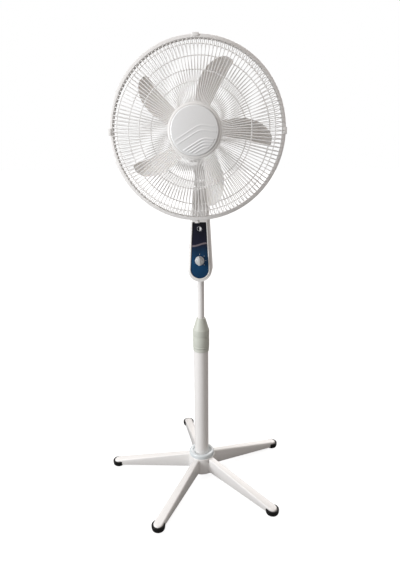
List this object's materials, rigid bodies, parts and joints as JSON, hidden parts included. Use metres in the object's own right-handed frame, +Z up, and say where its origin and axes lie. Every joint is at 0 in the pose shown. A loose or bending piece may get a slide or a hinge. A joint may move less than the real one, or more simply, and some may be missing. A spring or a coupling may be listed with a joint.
{
  "type": "pedestal fan",
  "caption": "Oscillating pedestal fan with a round wire cage, swept blades, telescoping column, control box and star base.",
  "frame": {"origin": "centre of the circle through the foot caps, on the floor, under the column's axis", "axes": "+Z up along the column, -Y the way the fan blows"},
  "size_m": [0.5739, 0.5928, 1.3249],
  "materials": {
    "white_enamel": "satin powder coat",
    "warm_white_plastic": "satin moulded",
    "collar_plastic": "fine texture",
    "black_rubber": "matte",
    "blade_plastic": "translucent moulded",
    "silver_plastic": "silver paint",
    "label_film": "gloss printed lens",
    "zinc_steel": "zinc plated",
    "motor_aluminium": "as cast",
    "lamination_steel": "stacked sheet",
    "copper_wire": "enamelled wire",
    "gear_plastic": "moulded"
  },
  "bodies": {
    "base": {"base_hub": "white_enamel", "hub_ring": "warm_white_plastic", "leg_1": "white_enamel", "leg_2": "white_enamel", "leg_3": "white_enamel", "leg_4": "white_enamel", "leg_5": "white_enamel", "foot_1": "black_rubber", "foot_2": "black_rubber", "foot_3": "black_rubber", "foot_4": "black_rubber", "foot_5": "black_rubber", "leg_screws": "zinc_steel", "base_bolt": "zinc_steel", "outer_column": "white_enamel", "column_sleeve": "collar_plastic"},
    "collar": {"lock_collar": "collar_plastic"},
    "mast": {"inner_pole": "white_enamel", "pole_foot": "gear_plastic", "pole_socket": "gear_plastic", "control_front_shell": "warm_white_plastic", "control_rear_shell": "warm_white_plastic", "control_label": "label_film", "speed_switch": "gear_plastic", "shell_screws": "zinc_steel", "cord_gland": "gear_plastic", "tilt_fork": "zinc_steel", "tilt_bolt": "zinc_steel"},
    "knob": {"speed_knob": "silver_plastic"},
    "neck": {"neck_support": "warm_white_plastic"},
    "head": {"head_bracket": "warm_white_plastic", "pivot_spindle": "zinc_steel", "motor_front_bell": "motor_aluminium", "motor_rear_bell": "motor_aluminium", "stator": "lamination_steel", "windings": "copper_wire", "bearings": "zinc_steel", "motor_bolts": "zinc_steel", "motor_front_cover": "warm_white_plastic", "motor_cover": "warm_white_plastic", "gear_case": "gear_plastic", "rear_grille_plate": "white_enamel", "rear_grille_spokes": "white_enamel", "rear_grille_rings": "white_enamel", "grille_nut": "warm_white_plastic", "front_grille_spokes": "white_enamel", "front_grille_rings": "white_enamel", "front_plate": "warm_white_plastic", "badge": "silver_plastic", "rim_band": "white_enamel", "rim_clips": "white_enamel", "rim_screw": "zinc_steel"},
    "rotor": {"rotor_shaft": "zinc_steel", "rotor_core": "motor_aluminium", "fan_blade": "blade_plastic", "blade_nut": "warm_white_plastic"},
    "wheel": {"worm_wheel": "gear_plastic"},
    "crank": {"crank": "zinc_steel"},
    "link": {"drive_link": "zinc_steel"},
    "clutch": {"clutch_knob": "warm_white_plastic"}
  },
  "joints": [
    {"name": "collar_turn", "type": "hinge", "parent": "base", "child": "collar", "pos_m": [0, 0, 0.454], "axis": [0, 0, 1], "range_deg": [0, 90]},
    {"name": "height", "type": "slide", "parent": "base", "child": "mast", "axis": [0, 0, 1], "range_m": [-0.115, 0.085]},
    {"name": "speed_turn", "type": "hinge", "parent": "mast", "child": "knob", "pos_m": [0, -0.04, 0.739], "axis": [0, 1, 0], "range_deg": [0, 135]},
    {"name": "tilt", "type": "hinge", "parent": "mast", "child": "neck", "pos_m": [0, 0, 0.957], "axis": [1, 0, 0], "range_deg": [-20, 10]},
    {"name": "oscillation", "type": "hinge", "parent": "neck", "child": "head", "pos_m": [0, 0, 1], "axis": [0, 0, 1], "range_deg": [-40, 40]},
    {"name": "rotor_spin", "type": "hinge", "parent": "head", "child": "rotor", "pos_m": [0, 0, 1.095], "axis": [0, 1, 0], "continuous": true},
    {"name": "wheel_spin", "type": "hinge", "parent": "head", "child": "wheel", "pos_m": [0.016, 0.07, 1.095], "axis": [0, 0, 1], "continuous": true},
    {"name": "crank_turn", "type": "hinge", "parent": "head", "child": "crank", "pos_m": [0.016, 0.07, 1.02], "axis": [0, 0, 1], "range_deg": [-40, 40]},
    {"name": "link_turn", "type": "hinge", "parent": "crank", "child": "link", "pos_m": [0.02965, 0.06688, 1.009], "axis": [0, 0, 1], "range_deg": [-40, 40]},
    {"name": "clutch_push", "type": "slide", "parent": "head", "child": "clutch", "axis": [0, 0, 1], "range_m": [-0.006, 0]}
  ],
  "couplings": [
    {"joint": "wheel_spin", "follows": "rotor_spin", "ratio": 0.041667},
    {"joint": "crank_turn", "follows": "oscillation", "ratio": -1},
    {"joint": "link_turn", "follows": "oscillation", "ratio": 1}
  ]
}
